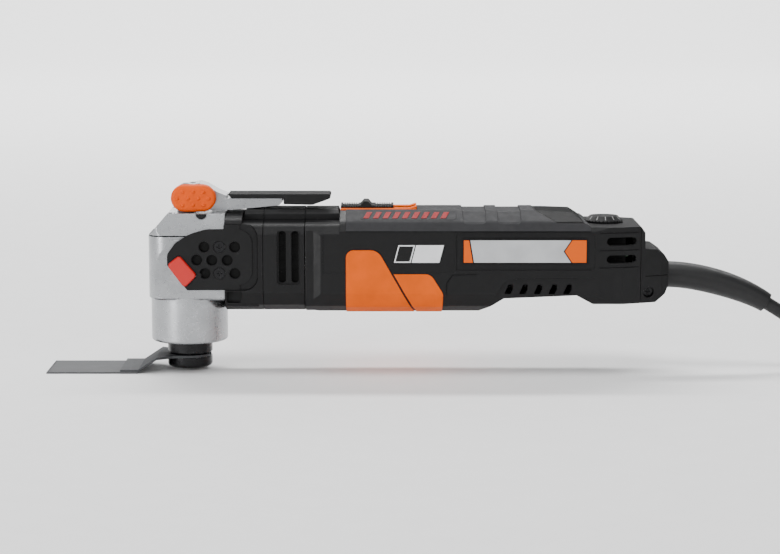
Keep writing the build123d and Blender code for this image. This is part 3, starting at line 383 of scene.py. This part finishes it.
def make_finish(name, color, rough, grain, metallic=0.0, stretch=(1.0, 1.0, 1.0), variation=0.10,
                gleam=0.5, matt_edge=True):
    """A surface with mottled colour, uneven gloss, and a fine grain over soft unevenness."""
    features, height = grain
    n = Nodes(name)
    n.shader.inputs["Metallic"].default_value = metallic
    n.shader.inputs["Specular IOR Level"].default_value = gleam
    mottle = n.spread(n.noise(MOTTLE, 3.0), 0.0, 1.0)
    n.paint = n.mix(mottle, shade(color, 1 - variation), shade(color, 1 + variation))
    n.link(n.paint, n.shader.inputs["Base Color"])
    patches = n.noise(features * GLOSS_PATCH, 3.0, stretch)
    gloss = n.spread(patches, rough[0] - rough[1], rough[0] + rough[1])
    if matt_edge:
        glancing = n.math("SUBTRACT", n.add("ShaderNodeLayerWeight").outputs["Facing"], GLANCING)
        glancing = n.math("MULTIPLY", glancing, 1 / (1 - GLANCING), clamp=True)
        gloss = n.math("MAXIMUM", gloss, glancing)
    n.link(gloss, n.shader.inputs["Roughness"])
    soft = n.add("ShaderNodeBevel", samples=4)
    soft.inputs["Radius"].default_value = EDGE_SOFTNESS
    wave = n.bump(n.noise(WAVES, 1.0), WAVE_HEIGHT, soft.outputs["Normal"])
    fine = n.bump(n.noise(features, 2.0, stretch), height * MM, wave)
    n.link(fine, n.shader.inputs["Normal"])
    return n


def box_mm(node):
    """The low and the high corner of a CAD node's box, in mm."""
    return [corner / MM for corner in map(Vector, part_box(node))]


def paint_badge(n):
    """Blank silver field between an orange wedge and an orange arrow, in a black frame."""
    low, high = box_mm("badge_plates")
    x, _, z = n.coordinates()
    up = n.math("SUBTRACT", z, (low.z + high.z) / 2)
    across = n.math("ABSOLUTE", up)
    wedge_side = n.math("ADD", n.math("MULTIPLY", up, WEDGE_SLOPE), x)
    wedge_end = low.x + WEDGE_END
    wedge = n.math("LESS_THAN", wedge_side, wedge_end)
    arrow_side = n.math("SUBTRACT", x, n.math("MULTIPLY", across, ARROW_SLOPE))
    arrow_tip = high.x - ARROW_TIP
    arrow = n.math("GREATER_THAN", arrow_side, arrow_tip)
    lines = n.either(n.between(wedge_side, wedge_end, wedge_end + BADGE_LINE),
                     n.between(arrow_side, arrow_tip - BADGE_LINE, arrow_tip))
    rim = n.either(n.math("LESS_THAN", x, low.x + BADGE_FRAME),
                   n.math("GREATER_THAN", x, high.x - BADGE_FRAME),
                   n.math("GREATER_THAN", across, (high.z - low.z) / 2 - BADGE_FRAME))
    n.repaint((n.either(wedge, arrow), ORANGE), (n.either(lines, rim), INK))
    silver = n.math("SUBTRACT", 1.0, n.either(wedge, arrow, lines, rim), clamp=True)
    n.link(n.math("MULTIPLY", silver, BADGE_METAL), n.shader.inputs["Metallic"])


def paint_label(n):
    """A slanted blank label: a black field on the left and a white one on the right, framed."""
    low, high = box_mm("label_plates")
    height = high.z - low.z
    length = high.x - low.x - LABEL_LEAN * height
    x, _, z = n.coordinates()
    up = n.math("SUBTRACT", z, low.z)
    along = n.math("SUBTRACT", n.math("SUBTRACT", x, n.math("MULTIPLY", up, LABEL_LEAN)), low.x)

    def inside(left, right, edge):
        """Where the label is between left and right, and not nearer than edge to its long sides."""
        return n.both(n.between(along, left, right), n.between(up, edge, height - edge))

    n.repaint((n.math("SUBTRACT", 1.0, inside(LABEL_RIM, length - LABEL_RIM, LABEL_RIM)), INK),
              (inside(LABEL_FRAME, LABEL_FIELD_END, LABEL_FRAME), INK),
              (inside(*LABEL_LINE, LABEL_RIM), INK))


def paint_lens(n):
    """The lens's flat face is paler than its rounded edges."""
    normal = n.add("ShaderNodeNewGeometry").outputs["Normal"]
    facing = n.add("ShaderNodeSeparateXYZ")
    n.link(normal, facing.inputs[0])
    sideways = n.math("ABSOLUTE", facing.outputs[1])
    n.repaint((n.math("GREATER_THAN", sideways, LENS_FLATNESS), LENS_FACE))


def paint_dial(n):
    """Pale index marks round the dial's sloping side."""
    low, high = box_mm("speed_dial")
    x, y, _ = n.coordinates()
    x = n.math("SUBTRACT", x, (low.x + high.x) / 2)
    turn = n.math("MULTIPLY", n.math("ARCTAN2", y, x), DIAL_MARKS / math.tau)
    mark = n.math("LESS_THAN", n.math("FRACT", turn), DIAL_MARK_WIDTH)
    radius = n.math("SQRT", n.math("ADD", n.math("MULTIPLY", x, x), n.math("MULTIPLY", y, y)))
    n.repaint((n.both(mark, n.between(radius, *DIAL_RING)), DIAL_INK))


def make_materials():
    """Every finish by name. The CAD nodes get theirs by their slots' names, but for two nodes."""
    made = {name: make_finish(name, **facts) for name, facts in FINISHES.items()}
    made["dial_plastic"] = make_finish("dial_plastic", **FINISHES["black_plastic"])
    paint_badge(made["badge"])
    paint_label(made["label"])
    paint_lens(made["red_lens"])
    paint_dial(made["dial_plastic"])
    for obj in NODES.values():
        for slot in obj.material_slots:
            slot.material = made[slot.material.name.split(".")[0]].material
    NODES["speed_dial"].material_slots[0].material = made["dial_plastic"].material
    # The rear top cover takes the darker copy of the black plastic: painted shade.
    NODES["rear_top_cover"].material_slots[0].material = made["cover_plastic_painted_shade"].material
    return made


# ---------------------------------------------------------------- detail pieces

def add_piece(name, points, faces, finish, body, smooth_shading=False):
    """A mesh of its own that rides on a body."""
    data = bpy.data.meshes.new(name)
    data.from_pydata([tuple(p) for p in points], [], faces)
    data.validate()
    if smooth_shading:
        data.polygons.foreach_set("use_smooth", [True] * len(data.polygons))
    data.materials.append(finish.material)
    piece = bpy.data.objects.new(name, data)
    bpy.context.scene.collection.objects.link(piece)
    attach(piece, body)
    return piece


class Solid:
    """Collects prisms and domes into one mesh."""

    def __init__(self):
        self.points = []
        self.faces = []

    def band(self, lower, upper):
        """The faces between two rings of the same number of points. Returns its first point."""
        start, count = len(self.points), len(lower)
        self.points += [*lower, *upper]
        for i in range(count):
            j = (i + 1) % count
            self.faces.append([start + i, start + j, start + count + j, start + count + i])
        return start

    def prism(self, base, top):
        """A closed form between two rings of the same number of points."""
        count = len(base)
        start = self.band(base, top)
        self.faces.append([start + i for i in reversed(range(count))])
        self.faces.append([start + count + i for i in range(count)])

    def dome(self, centre, radius, height, rings=4, count=16):
        """A low round button on a level surface, open underneath."""
        turns = [math.tau * i / count for i in range(count)]
        levels = []
        for k in range(rings):
            angle = math.pi / 2 * k / rings
            out, up = radius * math.cos(angle), height * math.sin(angle)
            levels.append([centre + Vector((out * math.cos(turn), out * math.sin(turn), up))
                           for turn in turns])
        for lower, upper in zip(levels, levels[1:]):
            self.band(lower, upper)
        start = len(self.points)
        self.points += [*levels[-1], centre + Vector((0, 0, height))]
        self.faces += [[start + i, start + (i + 1) % count, start + count] for i in range(count)]


def rounded_box_outline(x0, x1, y0, y1, radius, steps=5):
    """The points round a rectangle with rounded corners."""
    points = []
    for cx, cy, first in ((x1 - radius, y0 + radius, -90), (x1 - radius, y1 - radius, 0),
                          (x0 + radius, y1 - radius, 90), (x0 + radius, y0 + radius, 180)):
        for i in range(steps + 1):
            angle = math.radians(first + 90 * i / steps)
            points.append((cx + radius * math.cos(angle), cy + radius * math.sin(angle)))
    return points


# Near-black ribbed sheets of painted shade behind the openings: name, X range, Z range, distance of
# the near face from the middle, and ribs; mm.
SHADE_SHEETS = [
    ("vent_shade_sheets", (49.0, 64.0), (39.0, 73.0), 22.0, 5),
    ("inlet_shade_sheets", (224.0, 242.0), (52.5, 69.5), 19.0, 3),
]
SHADE_SHEET_THICKNESS = 0.5
RIB_INSET = 0.5                      # from the screen's ends
RIB_HALF = 0.35
# The flat shoulder of the soft grip: the middle of its face on the near side, and its slope.
SHOULDER = Vector((0.0, -18.6, 79.35)) * MM
SHOULDER_UP = Vector((0.0, -0.364, 0.931)).normalized()
SHOULDER_ALONG = Vector((0.0, 0.931, 0.364)).normalized()
# The low field on the shoulder, in mm: X range and half height on the slope, its corners, the width
# of its bevel, and the heights of its foot and its face above the slope.
SHOULDER_FIELD = (95.4, 149.0, 5.6)
FIELD_CORNER = 3.0
FIELD_BEVEL = 0.4
FIELD_LEVELS = (-0.3, 0.16)
# Its stripes, in mm: how many, where the first one starts and what is left free in all, their half
# height, how far they lean, their width as a share of the step, and the heights of foot and face.
STRIPES = 9
STRIPE_START = 2.2
STRIPE_FREE = 6
STRIPE_HALF = 3.6
STRIPE_LEAN = 2.0
STRIPE_SHARE = 0.56
STRIPE_LEVELS = (0.1, 0.34)
# The strip of painted shade in the head's seam: its outline, its width, and its two faces from the
# gear head's upper edge, mm.
SEAM_SHADE_HALF = 21.0
SEAM_SHADE_RIGHT = 21.1
SEAM_SHADE_CORNER = 9.6
SEAM_SHADE_WIDTH = 2.0
SEAM_SHADE_LEVELS = (-0.5, 0.06)
# Blind holes in the side plates, in mm: X and Z, with a disc of painted shade at each bottom. The
# lamp's rim covers part of the last two.
PLATE_HOLES = [(10.5, 62.8), (27.3, 62.8), (14.7, 55.5), (23.1, 55.5), (27.3, 48.2), (6.4, 55.6),
               (10.9, 48.2)]
HOLE_R = 2.85
HOLE_FLOOR = (23.55, 23.80)          # distances of a disc's two faces from the middle
HOLE_STEPS = 24
# The spot welds, in mm: how many, their step as a share of the strip's width, their distance from
# the holder's front edge, the lap's thickness above the strip, and each dot's radius and height.
WELDS = 5
WELD_STEP = 0.2
WELD_INSET = 5.0
LAP_HEIGHT = 1.2
WELD_R = 1.3
WELD_HEIGHT = 0.25
# Springs: name, CAD node, which side's half of it (0 for all), body, joint, axis,
# fixed end in mm, and the share of the length that is kept.
SPRINGS = [
    ("clamp_disc_springs", "clamp_spring", 0, "spindle_unit", "clamp_rod_slide",
     (0, 0, 1), (0, 0, 66.1), 0.43),
    ("lock_spring_left", "lock_button_springs", -1, "lever", "button_left_press",
     (0, 1, 0), (0, -3.9, 0), 0.38),
    ("lock_spring_right", "lock_button_springs", 1, "lever", "button_right_press",
     (0, 1, 0), (0, 3.9, 0), 0.38),
]


def make_shade_sheets(finish):
    """Ribbed near-black sheets just behind the openings of both sides: painted shade inside them.
    """
    for name, (x0, x1), (z0, z1), near, ribs in SHADE_SHEETS:
        # Each wall is an X range, a Z range and a range of distances from the middle.
        walls = [((x0, x1), (z0, z1), (near, near + SHADE_SHEET_THICKNESS))]
        for i in range(ribs):
            z = z0 + (z1 - z0) * (i + 0.5) / ribs
            walls.append(((x0 + RIB_INSET, x1 - RIB_INSET), (z - RIB_HALF, z + RIB_HALF),
                          (near + SHADE_SHEET_THICKNESS, near + 2 * SHADE_SHEET_THICKNESS)))
        solid = Solid()
        for side in (-1, 1):
            for (left, right), (bottom, top), levels in walls:
                ring = ((left, bottom), (right, bottom), (right, top), (left, top))
                solid.prism(*([Vector((x, side * y, z)) * MM for x, z in ring] for y in levels))
        add_piece(name, solid.points, solid.faces, finish, "housing")


def make_shoulder_label(grip_finish, stripe_finish):
    """A low rounded field on each shoulder of the grip, with plain slanted stripes on it."""
    field, stripes = Solid(), Solid()
    x0, x1, half = SHOULDER_FIELD

    def place(x, up_slope, out, side):
        p = Vector((x, 0, 0)) * MM + SHOULDER + (SHOULDER_ALONG * up_slope + SHOULDER_UP * out) * MM
        return Vector((p.x, side * p.y, p.z))

    outer = rounded_box_outline(x0, x1, -half, half, FIELD_CORNER)
    inner = rounded_box_outline(x0 + FIELD_BEVEL, x1 - FIELD_BEVEL, -half + FIELD_BEVEL,
                                half - FIELD_BEVEL, FIELD_CORNER - FIELD_BEVEL)
    step = (x1 - x0 - STRIPE_FREE) / STRIPES
    width = step * STRIPE_SHARE
    for side in (-1, 1):
        field.prism(*([place(x, v, level, side) for x, v in ring]
                      for ring, level in zip((outer, inner), FIELD_LEVELS)))
        for i in range(STRIPES):
            left = x0 + STRIPE_START + step * i
            foot = ((left, -STRIPE_HALF), (left + width, -STRIPE_HALF),
                    (left + width + STRIPE_LEAN, STRIPE_HALF), (left + STRIPE_LEAN, STRIPE_HALF))
            stripes.prism(*([place(x, v, level, side) for x, v in foot]
                            for level in STRIPE_LEVELS))
    add_piece("shoulder_fields", field.points, field.faces, grip_finish, "housing")
    add_piece("shoulder_stripes", stripes.points, stripes.faces, stripe_finish, "housing")


def make_head_seam_shade(finish):
    """A thin near-black strip in the rebate between the gear head and its cap: painted shade in the
    seam.
    """
    split = box_mm("gear_head")[1].z

    def ring(inset):
        return rounded_box_outline(-SEAM_SHADE_HALF + inset, SEAM_SHADE_RIGHT - inset, -SEAM_SHADE_HALF + inset,
                                   SEAM_SHADE_HALF - inset, SEAM_SHADE_CORNER - inset)

    solid = Solid()
    outer, inner = ring(0.0), ring(SEAM_SHADE_WIDTH)
    for i in range(len(outer)):
        j = (i + 1) % len(outer)
        strip = (outer[i], outer[j], inner[j], inner[i])
        solid.prism(*([Vector((x, y, split + level)) * MM for x, y in strip]
                      for level in SEAM_SHADE_LEVELS))
    add_piece("head_seam_shade", solid.points, solid.faces, finish, "housing")


def make_hole_painted_shade(finish):
    """Near-black discs at the bottoms of the blind holes in the side plates: painted shade in the
    holes.
    """
    solid = Solid()
    turns = [math.tau * i / HOLE_STEPS for i in range(HOLE_STEPS)]
    for side in (-1, 1):
        for x, z in PLATE_HOLES:
            solid.prism(*([Vector((x + HOLE_R * math.cos(turn), side * y,
                                   z + HOLE_R * math.sin(turn))) * MM for turn in turns]
                          for y in HOLE_FLOOR))
    add_piece("hole_painted_shade", solid.points, solid.faces, finish, "housing")


def make_weld_dots(finish):
    """Spot welds in a row across the lap of holder and strip."""
    low, high = box_mm("blade_strip")
    x = box_mm("blade_holder")[0].x + WELD_INSET
    solid = Solid()
    for i in range(WELDS):
        y = (i - (WELDS - 1) / 2) * WELD_STEP * (high.y - low.y)
        solid.dome(Vector((x, y, high.z + LAP_HEIGHT)) * MM, WELD_R * MM, WELD_HEIGHT * MM)
    add_piece("spot_welds", solid.points, solid.faces, finish, "blade", True)


def make_springs(finish):
    """The springs as pieces of their own, each riding on its body."""
    for name, node, side, body, joint, axis, fixed_end, share in SPRINGS:
        data = NODES[node].data
        used = [v.index for v in data.vertices if side == 0 or v.co.y * side > 0]
        number = {old: new for new, old in enumerate(used)}
        faces = [[number[i] for i in face.vertices] for face in data.polygons
                 if face.vertices[0] in number]
        points = [data.vertices[i].co for i in used]
        spring = add_piece(name, points, faces, finish, body, True)
        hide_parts(node)
        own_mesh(spring)


# ---------------------------------------------------------------- stage

STAGE_X = (-7.0, 7.4)       # metres, like all of this section
STAGE_FRONT = -7.0
STAGE_BACK = 3.6            # where the floor starts to turn up
STAGE_BEND = 1.4            # the radius of that turn
STAGE_BEND_STEPS = 14
STAGE_TOP = 4.0
# Lights: name, place, size, power in watts, and what it points at.
LIGHTS = [
    ("overhead", (0.0, -0.30, 1.3), (1.3, 0.5), 14, TARGET),
    ("front", (0.15, -1.9, 0.95), (2.0, 0.5), 9, TARGET),
    ("front_left", (-0.95, -1.0, 0.24), (0.30, 0.42), 11, TARGET),
    ("front_right", (1.1, -1.1, 0.6), (0.5, 0.9), 3, TARGET),
    ("rear_fill", (-0.3, 1.5, 1.5), (1.2, 0.6), 5, TARGET),
    ("backdrop", (0.1, 2.0, 3.2), (5.0, 1.2), 430, Vector((0.1, 4.4, 0.0))),
]
WORLD_COLOR = (0.96, 0.98, 1.0, 1.0)
WORLD_STRENGTH = 0.24


def make_stage(finish):
    """A pale floor that turns up into a backdrop behind the object."""
    floor = CAD_BOX[0][2]
    profile = [(STAGE_FRONT, 0.0), (STAGE_BACK, 0.0)]
    for i in range(1, STAGE_BEND_STEPS + 1):
        angle = math.pi / 2 * i / STAGE_BEND_STEPS
        profile.append((STAGE_BACK + STAGE_BEND * math.sin(angle),
                        STAGE_BEND * (1 - math.cos(angle))))
    profile.append((STAGE_BACK + STAGE_BEND, STAGE_TOP))
    points = [(x, y, floor + z) for y, z in profile for x in STAGE_X]
    faces = [(2 * i, 2 * i + 1, 2 * i + 3, 2 * i + 2) for i in range(len(profile) - 1)]
    data = bpy.data.meshes.new("floor")
    data.from_pydata(points, [], faces)
    data.polygons.foreach_set("use_smooth", [True] * len(faces))
    data.materials.append(finish.material)
    sheet = bpy.data.objects.new("floor", data)
    bpy.context.scene.collection.objects.link(sheet)


def make_lights():
    """Soft boxes round the object, and an even world."""
    for name, place, size, power, aim in LIGHTS:
        data = bpy.data.lights.new(name, "AREA")
        data.shape = "RECTANGLE"
        data.size, data.size_y = size
        data.energy = power
        light = bpy.data.objects.new(name, data)
        light.location = place
        light.rotation_euler = (aim - Vector(place)).to_track_quat("-Z", "Y").to_euler()
        bpy.context.scene.collection.objects.link(light)
    world = bpy.data.worlds.new("studio")
    world.use_nodes = True
    background = world.node_tree.nodes["Background"]
    background.inputs["Color"].default_value = WORLD_COLOR
    background.inputs["Strength"].default_value = WORLD_STRENGTH
    bpy.context.scene.world = world


make_camera()
materials = make_materials()
make_cord(materials["cord_rubber"])
make_shade_sheets(materials["painted_shade_black"])
make_shoulder_label(materials["soft_grip"], materials["stripe_red"])
make_head_seam_shade(materials["painted_shade_black"])
make_hole_painted_shade(materials["painted_shade_black"])
make_weld_dots(materials["holder_steel"])
make_springs(materials["bright_steel"])
make_stage(materials["floor_paper"])
make_lights()
